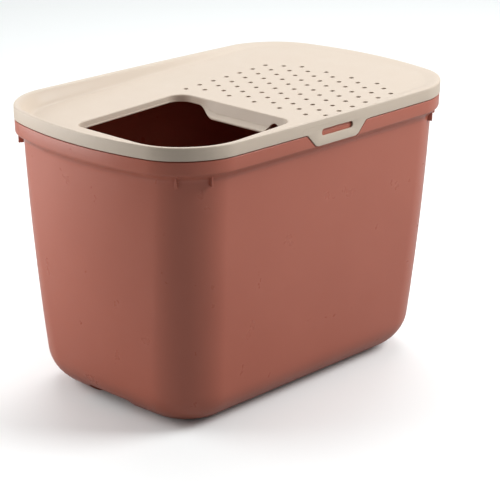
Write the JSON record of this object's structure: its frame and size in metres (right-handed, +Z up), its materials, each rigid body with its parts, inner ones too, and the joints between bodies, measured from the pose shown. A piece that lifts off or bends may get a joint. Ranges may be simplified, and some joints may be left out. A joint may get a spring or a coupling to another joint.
{
  "type": "cat litter box",
  "caption": "Top-entry cat litter box: deep tapered tub with rounded corners under a press-fit lid with a corner entry opening and a vented floor.",
  "frame": {"origin": "centre of the bounding box's bottom face, on the surface that the tub stands on", "axes": "+Z up, X along the long side with the entry opening towards -X, Y along the short side with the entry opening's near side towards -Y"},
  "size_m": [0.585, 0.375, 0.395],
  "materials": {
    "tub_plastic": "satin injection-moulded polypropylene, terracotta",
    "lid_plastic": "satin injection-moulded polypropylene, cream"
  },
  "bodies": {
    "tub": {"tub": "tub_plastic"},
    "lid": {"lid": "lid_plastic"},
    "front_clip": {"front_clip": "lid_plastic"},
    "back_clip": {"back_clip": "lid_plastic"}
  },
  "joints": [
    {"name": "lid_lift", "type": "slide", "parent": "tub", "child": "lid", "axis": [0, 0, 1], "range_m": [0, 0.16]},
    {"name": "front_clip_flex", "type": "hinge", "parent": "lid", "child": "front_clip", "pos_m": [0, -0.1875, 0.3865], "axis": [-1, 0, 0], "range_deg": [0, 12], "stiffness_Nm_per_rad": 0.8},
    {"name": "back_clip_flex", "type": "hinge", "parent": "lid", "child": "back_clip", "pos_m": [0, 0.1875, 0.3865], "axis": [1, 0, 0], "range_deg": [0, 12], "stiffness_Nm_per_rad": 0.8}
  ]
}
